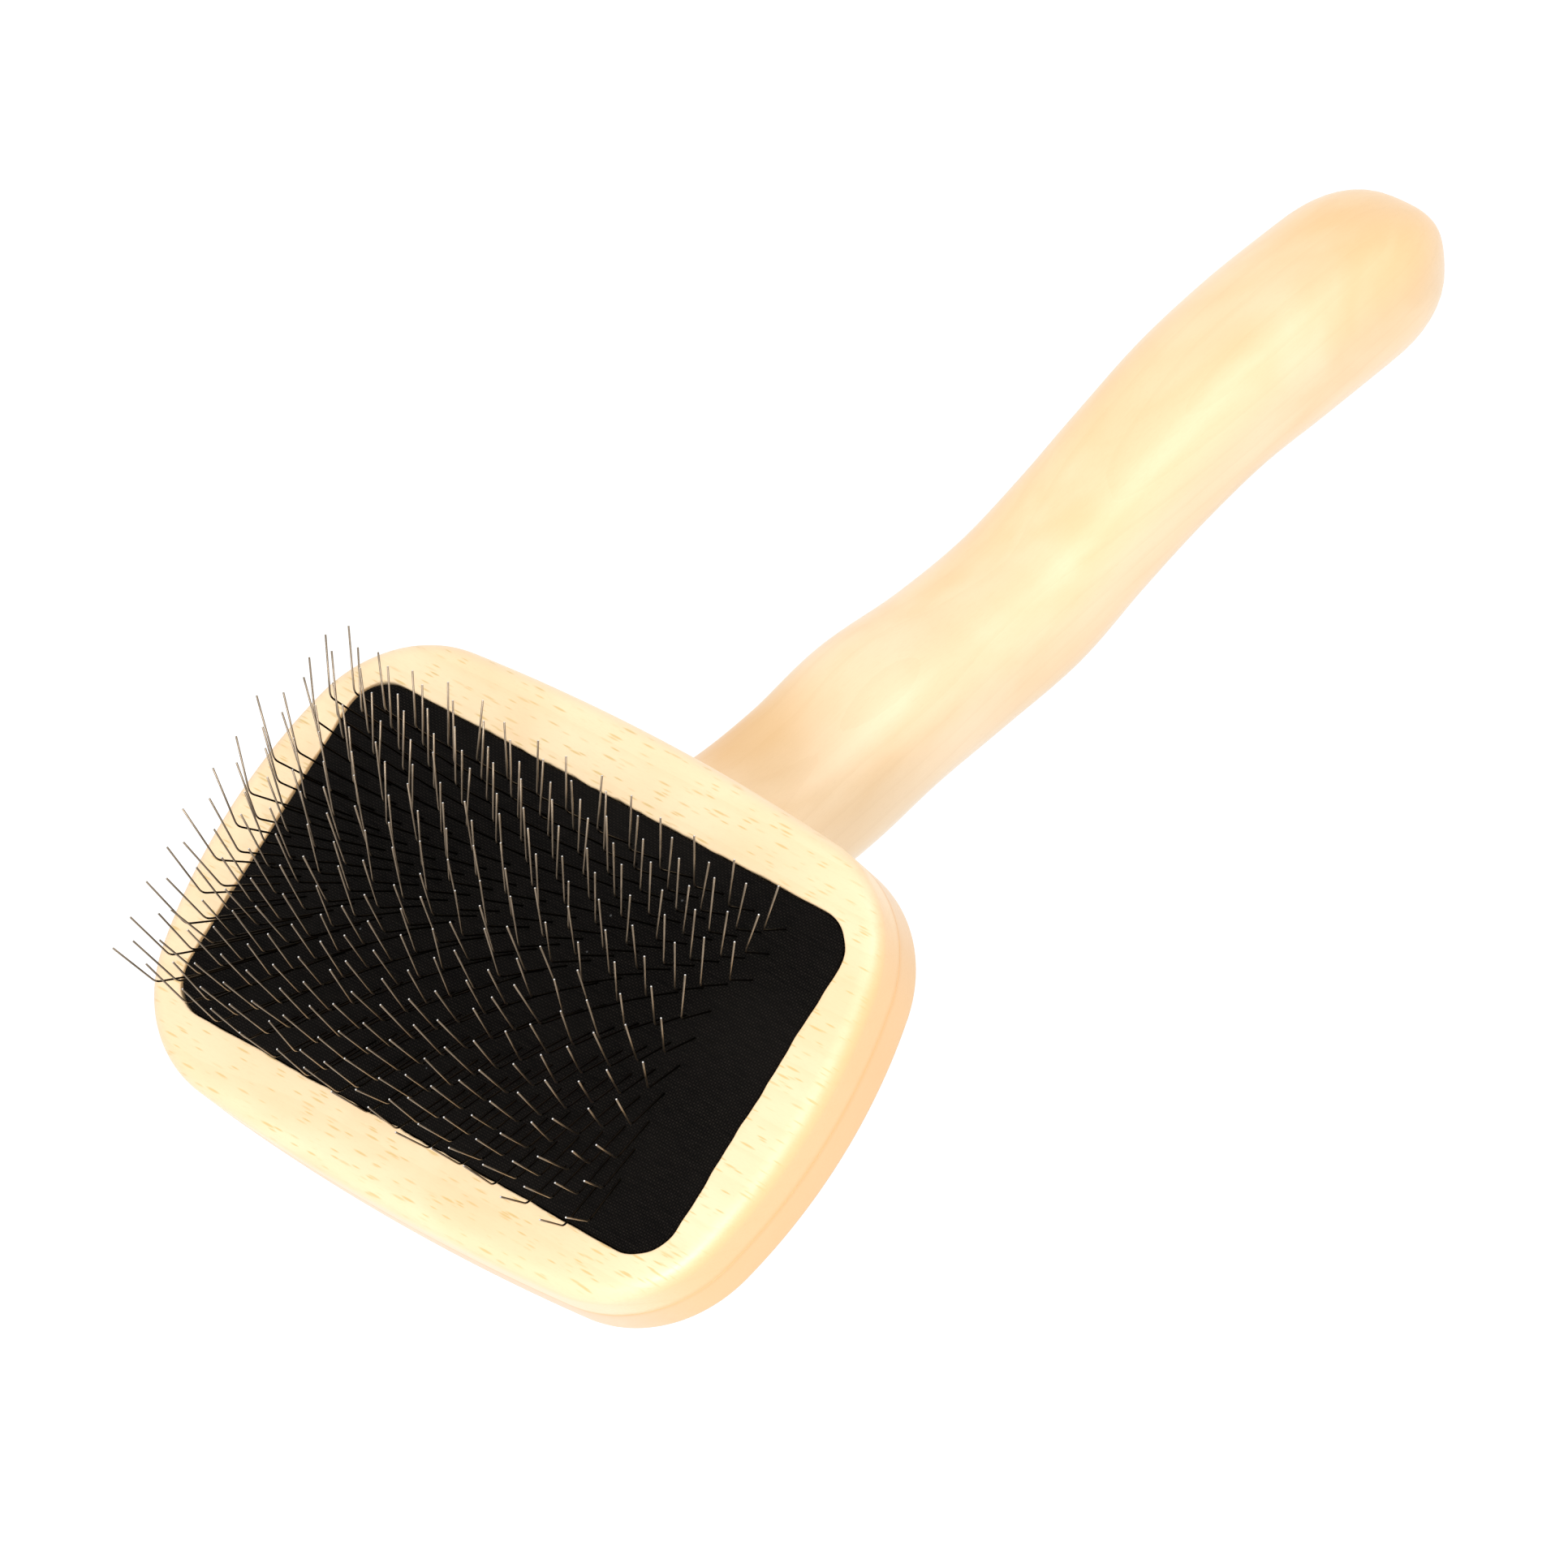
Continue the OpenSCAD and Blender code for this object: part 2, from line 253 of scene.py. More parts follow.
def opening_outline(grow, wave=0.0):
    """The opening's outline grown by grow, at the polar angles of the head's outline."""
    w, d, r = OPEN_W / 2 + grow, OPEN_D / 2 + grow, OPEN_R + grow
    angles = np.linspace(0, math.pi / 2, 60)
    arc = np.column_stack([w - r + r * np.cos(angles), d - r + r * np.sin(angles)])
    sides = np.linspace(0, 1, 200)[:, None]
    quarter = np.vstack([[w, 0] + sides[:-1] * [0, d - r], arc,
                         [w - r, d] + sides[1:] * [r - w, 0]])
    ring = mirrored(quarter[:-1], quarter[-1])
    target = np.unwrap(np.arctan2(*head_outline(0).T[::-1]))
    given = np.unwrap(np.arctan2(*ring.T[::-1]))
    length = np.interp(target, given, np.linalg.norm(ring, axis=1), period=2 * math.pi)
    length += wave * sum(share * np.sin(turns * target + phase) for turns, phase, share in RIPPLES)
    return length[:, None] * np.column_stack([np.cos(target), np.sin(target)])


def quarter_round(outline, radius, z, downward=False):
    """Rings of a rounded edge: from the wall in to the face, at face height z."""
    rings = []
    for i in range(ROUND_STEPS + 1):
        a = math.pi / 2 * i / ROUND_STEPS
        rise = radius * (1 - math.sin(a))
        height = z + rise if downward else z - rise
        rings.append(at_height(outline(radius * (1 - math.cos(a))), height))
    return rings


def between(a, b, count):
    """Rings part of the way from ring a to ring b."""
    return [a + (b - a) * i / (count + 1) for i in range(1, count + 1)]


def front_frame():
    """The front layer, with a rounded outer edge and a slightly uneven edge to its opening."""
    outer = quarter_round(head_outline, FRONT_ROUND, HEAD_Z)
    inner = [at_height(opening_outline(EDGE_ROUND * (1 - math.sin(a)), EDGE_WAVE),
                       HEAD_Z - EDGE_ROUND * (1 - math.cos(a)))
             for a in np.linspace(0, math.pi / 2, 5)]
    recess_z = GLUE_Z + MARGIN_T
    recess = opening_outline(MARGIN_RECESS)
    rings = [at_height(head_outline(GLUE_BEVEL), GLUE_Z),
             at_height(head_outline(0), GLUE_Z + GLUE_BEVEL)]
    rings += outer + between(outer[-1], inner[0], 5) + inner
    rings += [at_height(opening_outline(0), recess_z)]
    rings += [at_height(recess, recess_z), at_height(recess, GLUE_Z)]
    return lofted("beech_frame", rings, loop=True)


def back_board():
    """The back layer, with the pocket under the pad."""
    round_edge = quarter_round(head_outline, BACK_ROUND, BACK_Z, downward=True)[::-1]
    pocket = opening_outline(-POCKET_INSET)
    shrink = [0.75, 0.5, 0.25]
    rings = [at_height(head_outline(BACK_ROUND) * s, BACK_Z) for s in shrink[::-1]] + round_edge
    rings += [at_height(head_outline(0), GLUE_Z - GLUE_BEVEL),
              at_height(head_outline(GLUE_BEVEL), GLUE_Z)]
    rings += [at_height(pocket, GLUE_Z), at_height(pocket, POCKET_Z)]
    rings += [at_height(pocket * s, POCKET_Z) for s in shrink]
    return lofted("beech_board", rings, first=[0, 0, BACK_Z], last=[0, 0, POCKET_Z])


def control(t):
    """Centre (y, z), width and thickness of the handle at control row t, which may lie between
    two rows: a Catmull-Rom curve runs through them."""
    rows = np.array(HANDLE_MM) * MM
    i = min(int(t), len(rows) - 2)
    u = t - i
    a, b, c, d = rows[max(i - 1, 0)], rows[i], rows[i + 1], rows[min(i + 2, len(rows) - 1)]
    return (b + (c - a) * u / 2 + (2 * a - 5 * b + 4 * c - d) * u ** 2 / 2
            + (3 * b - a - 3 * c + d) * u ** 3 / 2)


def handle_direction(t):
    """The direction of the handle's middle line at control row t, in the YZ plane."""
    half = 0.05
    step = (control(min(t + half, len(HANDLE_MM) - 1)) - control(max(t - half, 0)))[:2]
    return step / np.linalg.norm(step)


def section(centre, direction, width, thick):
    """A superellipse across the handle."""
    a = np.arange(SECTION_SIDES) * 2 * math.pi / SECTION_SIDES
    power = 2 / SECTION_POWER
    across = width / 2 * np.sign(np.cos(a)) * np.abs(np.cos(a)) ** power
    up = thick / 2 * np.sign(np.sin(a)) * np.abs(np.sin(a)) ** power
    return np.column_stack([across, centre[0] - up * direction[1], centre[1] + up * direction[0]])


def handle():
    """The curved handle, cut flat where it meets the back board."""
    last = len(HANDLE_MM) - 1
    rings = []
    for t in np.linspace(0, last, last * ROW_STEPS + 1):
        y, z, width, thick = control(t)
        rings.append(section((y, z), handle_direction(t), width, thick))
    y, z, width, thick = control(last)
    direction = handle_direction(last)
    for a in np.radians(CAP_ANGLES):
        reach = END_LEN * math.sin(a) ** (2 / CAP_POWER) * direction
        k = math.cos(a) ** (2 / CAP_POWER)
        rings.append(section((y, z) + reach, direction, k * width, k * thick))
    tip = (y, z) + END_LEN * direction
    made = lofted("beech_handle", rings, last=[0, tip[0], tip[1]])
    work = bmesh.new()
    work.from_mesh(made.data)
    bmesh.ops.bisect_plane(work, geom=work.verts[:] + work.edges[:] + work.faces[:],
                           plane_co=(0, 0, BACK_Z), plane_no=(0, 0, 1), clear_outer=True)
    bmesh.ops.holes_fill(work, edges=[e for e in work.edges if e.is_boundary], sides=0)
    bmesh.ops.recalc_face_normals(work, faces=work.faces)
    work.to_mesh(made.data)
    work.free()
    made.data.set_sharp_from_angle(angle=SHARP_ANGLE)
    return made


def dome(x, y):
    """Height of the pad's outer surface."""
    fall_x = 1 - np.minimum(1, np.abs(2 * x / OPEN_W)) ** DOME_POWER
    fall_y = 1 - np.minimum(1, np.abs(2 * y / OPEN_D)) ** DOME_POWER
    return EDGE_Z + DOME_H * fall_x * fall_y


def dome_ring(outline, scale, drop):
    """The outline shrunk by scale and laid on the dome, or drop below it."""
    x, y = (outline * scale).T
    return np.column_stack([x, y, dome(x, y) - drop])


def pad_skin(pins):
    """The domed cloth of the moving pad, puckered a little where each pin leaves it."""
    top_rings, smallest_top = 58, 0.02
    under_rings, smallest_under = 12, 0.08
    outline = opening_outline(-SKIN_GAP)
    rings = [dome_ring(outline, s, CLOTH_T) for s in np.linspace(smallest_under, 1, under_rings)]
    for a in np.linspace(0, math.pi / 2, 6):
        rings.append(dome_ring(opening_outline(-SKIN_GAP - CLOTH_ROLL * (1 - math.cos(a))), 1,
                               CLOTH_ROLL * (1 - math.sin(a))))
    inner = opening_outline(-SKIN_GAP - CLOTH_ROLL)
    rings += [dome_ring(inner, s, 0) for s in np.linspace(1, smallest_top, top_rings)[1:]]
    middle = dome(0, 0)
    made = lofted("pad_cloth", rings, first=[0, 0, middle - CLOTH_T], last=[0, 0, middle])
    points = np.array([v.co for v in made.data.vertices])
    slack = 1.01  # keeps the rolled edge's lowest ring in the skin
    skin = points[:, 2] > dome(points[:, 0], points[:, 1]) - CLOTH_ROLL * slack
    sink = np.zeros(len(points))
    for x, y in pins:
        near = np.hypot(points[:, 0] - x, points[:, 1] - y)
        sink = np.maximum(sink, PUCKER_DEPTH * np.exp(-(near / PUCKER_R) ** 2))
    points[skin, 2] -= sink[skin]
    made.data.vertices.foreach_set("co", points.ravel())
    made.data.update()
    return made


def foam_block():
    """The foam under the cloth, cut a little unevenly."""
    draw = np.random.default_rng(SEED)
    outline = opening_outline(-FOAM_INSET)
    drop = CLOTH_T + FOAM_GAP
    top = dome_ring(outline, 1, drop)
    low = at_height(outline, POCKET_Z)
    wall_rings, top_rings, smallest_top = 8, 26, 0.04
    rings = [at_height(outline * s, POCKET_Z) for s in (0.3, 0.65)]
    rings += [low + (top - low) * s for s in np.linspace(0, 1, wall_rings)]
    rings += [dome_ring(outline, s, drop) for s in np.linspace(1, smallest_top, top_rings)[1:]]
    made = lofted("foam_block", rings, first=[0, 0, POCKET_Z], last=[0, 0, dome(0, 0) - drop])
    points = np.array([v.co for v in made.data.vertices])
    raised = points[:, 2] > POCKET_Z + 1 * MM  # all but the flat bottom
    points[raised, 2] -= draw.uniform(0, FOAM_UNEVEN, raised.sum())
    made.data.vertices.foreach_set("co", points.ravel())
    made.data.update()
    return made


# ---------------------------------------------------------------- pins

def wire_paths(name):
    """Tip, knee, crown end, crown end, knee and tip of every staple in a CAD row. The CAD wire has
    corners only at these, so each is the middle of one cluster of the row's corners."""
    left = np.array([v.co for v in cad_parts[name].data.vertices])
    cluster_r = 3 * WIRE_R
    middles = []
    while len(left):
        close = np.linalg.norm(left - left[0], axis=1) < cluster_r
        middles.append(np.unique(left[close].round(7), axis=0).mean(axis=0))
        left = left[~close]
    middles = sorted(middles, key=lambda p: p[2])
    count = len(middles) // 3
    levels = [sorted(middles[k * count:(k + 1) * count], key=lambda p: p[0]) for k in range(3)]
    crowns, knees, tips = levels
    return [[tips[i], knees[i], crowns[i], crowns[i + 1], knees[i + 1], tips[i + 1]]
            for i in range(0, count, 2)]


def softened(path, radius):
    """The path with each bend turned into a short curve of BEND_STEPS points."""
    out = [path[0]]
    for before, corner, after in zip(path, path[1:], path[2:]):
        a = corner + (before - corner) / np.linalg.norm(before - corner) * radius
        b = corner + (after - corner) / np.linalg.norm(after - corner) * radius
        out += [a * (1 - u) ** 2 + 2 * corner * u * (1 - u) + b * u ** 2
                for u in np.linspace(0, 1, BEND_STEPS)]
    return np.array(out + [path[-1]])


def tube(path):
    """Rings of points round a path, carried along it without twist."""
    along = np.gradient(path, axis=0)
    along /= np.linalg.norm(along, axis=1)[:, None]
    across = np.cross(along[0], [0, 1, 0])
    angles = np.arange(WIRE_SIDES) * 2 * math.pi / WIRE_SIDES
    rings = []
    for point, direction in zip(path, along):
        across = across - direction * (across @ direction)
        across /= np.linalg.norm(across)
        other = np.cross(direction, across)
        rings.append(point + WIRE_R * (np.outer(np.cos(angles), across)
                                       + np.outer(np.sin(angles), other)))
    return rings


def staple_mesh(path):
    """Points, faces and each face's material of one staple: 0 for the lengths above the knees,
    1 below them, which carries painted shade, and 2 for the cut ends."""
    rings = tube(path)
    caps = []
    for ring, inward in ((rings[0], path[1] - path[0]), (rings[-1], path[-2] - path[-1])):
        centre = ring.mean(axis=0)
        caps.append(centre + (ring - centre) * CUT_SHARE)
        ring += inward / np.linalg.norm(inward) * CUT_CHAMFER
    rings = [caps[0]] + rings + [caps[1]]
    points = np.concatenate(rings + [[caps[0].mean(axis=0)], [caps[1].mean(axis=0)]])
    faces = ring_faces(len(rings), WIRE_SIDES)
    # A pin's faces above its knee: the chamfer, the straight length and half of the bend.
    above = (1 + 1 + BEND_STEPS // 2) * WIRE_SIDES
    parts = [0] * above + [1] * (len(faces) - 2 * above) + [0] * above
    ends = (fan(len(points) - 2, 0, WIRE_SIDES)
            + fan(len(points) - 1, (len(rings) - 1) * WIRE_SIDES, WIRE_SIDES))
    return points, faces + ends, parts + [2] * len(ends)


def pin_row(name, draw):
    """One row of staples as smooth round wire, each pin bent a little differently."""
    points, faces, parts = np.zeros((0, 3)), [], []
    for path in wire_paths(name):
        for tip, knee in ((0, 1), (5, 4)):
            path[knee] = path[knee] + draw.normal(0, KNEE_SPREAD, 3)
            path[tip] = path[tip] + draw.normal(0, TIP_SPREAD, 3)
        more, more_faces, more_parts = staple_mesh(softened(path, BEND_R))
        faces += [tuple(len(points) + i for i in face) for face in more_faces]
        parts += more_parts
        points = np.vstack([points, more])
    made = make_object(name.replace("pin_row", "wire_row"), points, faces)
    made.data.polygons.foreach_set("material_index", parts)
    return made


def pin_exits():
    """Where each pin leaves the cloth."""
    exits = []
    for i in range(PIN_ROWS):
        for path in wire_paths(f"pin_row_{i + 1}"):
            for knee, crown in ((path[1], path[2]), (path[4], path[3])):
                low, high = 0.0, 1.0
                for _ in range(20):  # halvings
                    share = (low + high) / 2
                    p = crown + (knee - crown) * share
                    low, high = (share, high) if p[2] < dome(p[0], p[1]) else (low, share)
                exits.append(p[:2])
    return exits


# ---------------------------------------------------------------- materials

# Wood colours, as linear RGBA: a light and a dark tone for each piece, then its markings and the
# orange of the grip's painted shade.
FRONT_TONES = [(0.92, 0.71, 0.45, 1), (0.87, 0.62, 0.36, 1)]
BACK_TONES = [(0.84, 0.60, 0.37, 1), (0.78, 0.53, 0.30, 1)]
GRIP_TONES = [(0.92, 0.69, 0.43, 1), (0.84, 0.57, 0.29, 1)]
RING_BROWN = (0.74, 0.48, 0.22, 1)
FIBRE_BROWN = (0.70, 0.47, 0.24, 1)
PORE_BROWN = (0.66, 0.42, 0.20, 1)
FLECK_GOLD = (0.66, 0.45, 0.15, 1)
END_ORANGE = (0.85, 0.51, 0.22, 1)
# Painted shade at the grip's neck, and the orange of the grip's far end.
PAINTED_SHADE_AND_TONE_ORANGE = (0.80, 0.41, 0.07, 1)
GLUE_ORANGE = (0.80, 0.44, 0.16, 1)
GLUE_REACH_MM = 0.9
# Painted shade on the grip, darker and more orange under the head at the neck, and a more orange
# tone at the far end: each place in millimetres, how far that reaches, and its share.
GRIP_PAINTED_SHADE_AND_TONE = [((-10, 37, -15), 18, 0.6), ((-5, 146, -68), 26, 0.2)]
PAINTED_SHADE_AND_TONE_CORE = 3

# Wood patterns: features to the millimetre along the grain and the two ways across it.
BLOTCH_SCALE = (0.03, 0.07, 0.07)
RING_SCALE = (0.010, 0.09, 0.12)
FIBRE_SCALE = (0.15, 3.5, 3.5)
PORE_SCALE = (1.2, 6.5, 6.5)
FINE_FLECKS = (0.32, 2.3, 0.25)
LONG_FLECKS = (0.22, 1.7, 0.16)

# Metal colours: bright and tarnished wire above the knees, near-black wire below them as
# painted shade, the cut ends, and the screws with and without their yellow tint.
WIRE_TONES = [(0.31, 0.245, 0.18, 1), (0.21, 0.165, 0.12, 1)]
# The near-black wire below the knees is painted shade.
PAINTED_SHADE_WIRE_TONES = [(0.022, 0.015, 0.009, 1), (0.010, 0.008, 0.006, 1)]
CUT_TONES = [(0.85, 0.83, 0.80, 1), (0.98, 0.97, 0.95, 1)]
SCREW_TONES = [(0.72, 0.66, 0.48, 1), (0.60, 0.60, 0.58, 1)]

# Cloth and foam colours: between the threads and on them, where worn, lint, and the foam's
# cells from their walls to their middles.
THREAD_TONES = [(0.0004, 0.0003, 0.0003, 1), (0.0160, 0.0130, 0.0106, 1)]
WORN_BLACK = (0.0095, 0.0080, 0.0068, 1)
LINT_GREY = (0.10, 0.10, 0.10, 1)
FOAM_TONES = [(0.10, 0.10, 0.105, 1), (0.03, 0.03, 0.032, 1)]
THREAD_MM = 0.30


def node(tree, kind, inputs=None, **settings):
    """A shader node. An input that is a socket is linked, anything else is its value."""
    made = tree.nodes.new(kind)
    for key, value in settings.items():
        setattr(made, key, value)
    for key, value in (inputs or {}).items():
        if isinstance(value, bpy.types.NodeSocket):
            tree.links.new(value, made.inputs[key])
        else:
            made.inputs[key].default_value = value
    return made


def math_node(tree, operation, a, b=0.0):
    """The result of one operation on numbers or sockets."""
    return node(tree, "ShaderNodeMath", {0: a, 1: b}, operation=operation).outputs[0]


def ramp(tree, value, low, high):
    """value from low to high as 0 to 1, smoothly."""
    made = node(tree, "ShaderNodeMapRange", {"Value": value, "From Min": low, "From Max": high},
                interpolation_type="SMOOTHSTEP")
    return made.outputs["Result"]


def mix(tree, share, a, b):
    """Colour a, or b where share is 1."""
    made = node(tree, "ShaderNodeMix", {0: share, 6: a, 7: b}, data_type="RGBA")
    return made.outputs[2]


def new_material(name):
    """A material, its node tree and its shader."""
    made = bpy.data.materials.new(name)
    made.use_nodes = True
    return made, made.node_tree, made.node_tree.nodes["Principled BSDF"]


def millimetres(tree, scale=(1, 1, 1), rotation=(0, 0, 0), place=(0, 0, 0), base=None):
    """Object coordinates in millimetres, turned and moved, and then scaled by axis. With base,
    only the scaling is done, on that vector."""
    if base is None:
        base = node(tree, "ShaderNodeTexCoord").outputs["Object"]
        turned = node(tree, "ShaderNodeMapping", {"Vector": base, "Scale": (1000, 1000, 1000),
                                                  "Rotation": rotation, "Location": place})
        base = turned.outputs[0]
    return node(tree, "ShaderNodeVectorMath", {0: base, 1: scale}, operation="MULTIPLY").outputs[0]


def noise(tree, vector, detail=3.0, roughness=0.5, distortion=0.0):
    """Soft noise with features about one unit of vector across."""
    made = node(tree, "ShaderNodeTexNoise", {"Vector": vector, "Scale": 1.0, "Detail": detail,
                                             "Roughness": roughness, "Distortion": distortion})
    return made.outputs["Fac"]


def bump(tree, height, distance, strength):
    """The surface's normal, tilted by a height pattern that is distance high."""
    inputs = {"Height": height, "Distance": distance, "Strength": strength}
    return node(tree, "ShaderNodeBump", inputs).outputs["Normal"]


def tinted(tree, colour, towards, pattern, share):
    """colour moved towards another by share, where pattern is 1."""
    return mix(tree, math_node(tree, "MULTIPLY", pattern, share), colour, towards)


def beech(name, rotation, place, tones, fleck_share, coat, glue_line=False, painted_shade_and_tone=()):
    """Lacquered beech with its grain along the turned X axis: short ray flecks, faint growth
    rings, fibres, pores, darker end grain and a soft blotchy tone. rotation and place say how the
    piece was cut from the plank. Around the places in the last argument it is darker and more
    orange: painted shade, as under the head at the grip's neck."""
    made, tree, shader = new_material(name)
    base = millimetres(tree, rotation=rotation, place=place)
    blotch = noise(tree, millimetres(tree, BLOTCH_SCALE, base=base), 3.0, 0.55, 0.6)
    rings = node(tree, "ShaderNodeTexWave",
                 {"Vector": millimetres(tree, RING_SCALE, base=base), "Scale": 1.0,
                  "Distortion": 4.0, "Detail": 2.0, "Detail Scale": 1.0}, wave_type="RINGS",
                 rings_direction="X", wave_profile="SAW").outputs["Fac"]
    fibre = noise(tree, millimetres(tree, FIBRE_SCALE, base=base), 4.0, 0.6)
    pores = noise(tree, millimetres(tree, PORE_SCALE, base=base), 2.0, 0.6)
    end_grain, flat_sawn = grain_facing(tree, rotation)
    fleck = math_node(tree, "MAXIMUM", flecks(tree, base, LONG_FLECKS),
                      flecks(tree, base, FINE_FLECKS))
    fleck = math_node(tree, "MULTIPLY", fleck, ramp(tree, flat_sawn, 0.2, 0.9))
    fibre_share = math_node(tree, "ADD", math_node(tree, "MULTIPLY", end_grain, 0.3), 0.06)
    colour = mix(tree, ramp(tree, blotch, 0.3, 0.75), *tones)
    colour = tinted(tree, colour, RING_BROWN, ramp(tree, rings, 0.7, 1.0), 0.12)
    colour = tinted(tree, colour, FIBRE_BROWN, ramp(tree, fibre, 0.35, 0.8), fibre_share)
    colour = tinted(tree, colour, PORE_BROWN, ramp(tree, pores, 0.5, 0.75), 0.10)
    colour = tinted(tree, colour, FLECK_GOLD, fleck, fleck_share)
    colour = tinted(tree, colour, END_ORANGE, ramp(tree, end_grain, 0.4, 0.95), 0.75)
    # Painted shade: darker and more orange near each place, broken into streaks by the blotches.
    for middle, reach, share in painted_shade_and_tone:
        away = node(tree, "ShaderNodeVectorMath", {0: millimetres(tree), 1: middle},
                    operation="DISTANCE").outputs["Value"]
        streaks = math_node(tree, "MULTIPLY", ramp(tree, blotch, 0.35, 0.7), 0.55 * share)
        colour = tinted(tree, colour, PAINTED_SHADE_AND_TONE_ORANGE, ramp(tree, away, reach, PAINTED_SHADE_AND_TONE_CORE),
                        math_node(tree, "ADD", streaks, share))
    if glue_line:
        height = node(tree, "ShaderNodeSeparateXYZ", {0: millimetres(tree)}).outputs["Z"]
        away = math_node(tree, "ABSOLUTE", math_node(tree, "SUBTRACT", height, GLUE_Z / MM))
        colour = tinted(tree, colour, GLUE_ORANGE, ramp(tree, away, GLUE_REACH_MM, 0.0), 0.6)
    tree.links.new(colour, shader.inputs["Base Color"])
    tree.links.new(math_node(tree, "ADD", math_node(tree, "MULTIPLY", fibre, 0.18), 0.36),
                   shader.inputs["Roughness"])
    grain = math_node(tree, "ADD", fibre, math_node(tree, "MULTIPLY", fleck, -0.6))
    tree.links.new(bump(tree, grain, 0.03 * MM, 0.4), shader.inputs["Normal"])
    shader.inputs["Specular IOR Level"].default_value = 0.45
    shader.inputs["Coat Weight"].default_value = coat
    shader.inputs["Coat Roughness"].default_value = 0.34
    return made


def grain_facing(tree, rotation):
    """How far the surface faces along the grain, and how far it faces the flat-sawn way."""
    normal = node(tree, "ShaderNodeNewGeometry").outputs["Normal"]
    turned = node(tree, "ShaderNodeMapping", {"Vector": normal, "Rotation": rotation},
                  vector_type="VECTOR").outputs[0]
    split = node(tree, "ShaderNodeSeparateXYZ", {0: turned}).outputs
    return math_node(tree, "ABSOLUTE", split["X"]), math_node(tree, "ABSOLUTE", split["Z"])


def flecks(tree, base, scale):
    """Short dashes along the grain, at the middles of some of the cells that scale sets."""
    cells = node(tree, "ShaderNodeTexVoronoi",
                 {"Vector": millimetres(tree, scale, base=base), "Scale": 1.0, "Randomness": 1.0})
    chance = node(tree, "ShaderNodeSeparateColor", {0: cells.outputs["Color"]}).outputs[0]
    return math_node(tree, "MULTIPLY", ramp(tree, cells.outputs["Distance"], 0.33, 0.12),
                     ramp(tree, chance, 0.35, 0.8))


def woven_black():
    """Plain-weave black cloth, with a few specks of lint."""
    made, tree, shader = new_material("black_weave")
    base = millimetres(tree)
    half_turns = millimetres(tree, (math.pi / THREAD_MM,) * 3, base=base)
    split = node(tree, "ShaderNodeSeparateXYZ", {0: half_turns}).outputs
    across_x = math_node(tree, "SINE", split["X"])
    across_y = math_node(tree, "SINE", split["Y"])
    over = math_node(tree, "MULTIPLY", across_x, across_y)
    round_x = math_node(tree, "ABSOLUTE", across_x)
    round_y = math_node(tree, "ABSOLUTE", across_y)
    ribs = math_node(tree, "ADD", round_x, round_y)
    height = math_node(tree, "ADD", ribs, math_node(tree, "MULTIPLY", over, 0.5))
    slub = noise(tree, millimetres(tree, (0.5, 6, 1), base=base), 3.0)
    soft = noise(tree, millimetres(tree, (0.06, 0.06, 0.06), base=base), 2.0)
    lint = node(tree, "ShaderNodeTexVoronoi",
                {"Vector": millimetres(tree, (0.16, 0.16, 0.16), base=base),
                 "Scale": 1.0}).outputs["Distance"]
    thread_tone = math_node(tree, "MULTIPLY", ramp(tree, height, 0.6, 2.2),
                            ramp(tree, slub, 0.1, 0.8))
    colour = mix(tree, thread_tone, *THREAD_TONES)
    colour = tinted(tree, colour, WORN_BLACK, ramp(tree, soft, 0.35, 0.8), 0.3)
    colour = tinted(tree, colour, LINT_GREY, ramp(tree, lint, 0.030, 0.016), 0.6)
    tree.links.new(colour, shader.inputs["Base Color"])
    tree.links.new(bump(tree, height, 0.06 * MM, 0.6), shader.inputs["Normal"])
    shader.inputs["Roughness"].default_value = 0.9
    shader.inputs["Specular IOR Level"].default_value = 0.06
    return made


def wire_steel(name, bright, dull):
    """Drawn steel wire, tarnished a little in places. Given near-black tones, it is the painted
    shade on the lengths below the knees.
    """
    made, tree, shader = new_material(name)
    stain = noise(tree, millimetres(tree, (0.4, 0.4, 0.4)), 3.0)
    draw = noise(tree, millimetres(tree, (9, 9, 1.5)), 2.0)
    colour = mix(tree, ramp(tree, stain, 0.35, 0.7), bright, dull)
    tree.links.new(colour, shader.inputs["Base Color"])
    tree.links.new(math_node(tree, "ADD", math_node(tree, "MULTIPLY", draw, 0.12), 0.24),
                   shader.inputs["Roughness"])
    shader.inputs["Metallic"].default_value = 1
    return made


def cut_steel():
    """The bright cut ends of the wire."""
    made, tree, shader = new_material("cut_steel")
    scratch = noise(tree, millimetres(tree, (14, 3, 3)), 2.0)
    tree.links.new(mix(tree, scratch, *CUT_TONES), shader.inputs["Base Color"])
    shader.inputs["Metallic"].default_value = 1
    shader.inputs["Roughness"].default_value = 0.3
    return made


def grey_foam():
    """Open-cell foam."""
    made, tree, shader = new_material("grey_foam")
    cells = node(tree, "ShaderNodeTexVoronoi",
                 {"Vector": millimetres(tree, (1.6, 1.6, 1.6)), "Scale": 1.0},
                 feature="DISTANCE_TO_EDGE").outputs["Distance"]
    colour = mix(tree, ramp(tree, cells, 0.0, 0.25), *FOAM_TONES)
    tree.links.new(colour, shader.inputs["Base Color"])
    tree.links.new(bump(tree, cells, 0.3 * MM, 0.8), shader.inputs["Normal"])
    shader.inputs["Roughness"].default_value = 0.95
    shader.inputs["Specular IOR Level"].default_value = 0.1
    return made


def plated_screw():
    """Zinc-plated steel with a yellow tint."""
    made, tree, shader = new_material("plated_screw")
    tint = noise(tree, millimetres(tree, (0.8, 0.8, 0.8)), 3.0)
    tree.links.new(mix(tree, tint, *SCREW_TONES), shader.inputs["Base Color"])
    shader.inputs["Metallic"].default_value = 1
    shader.inputs["Roughness"].default_value = 0.35
    return made


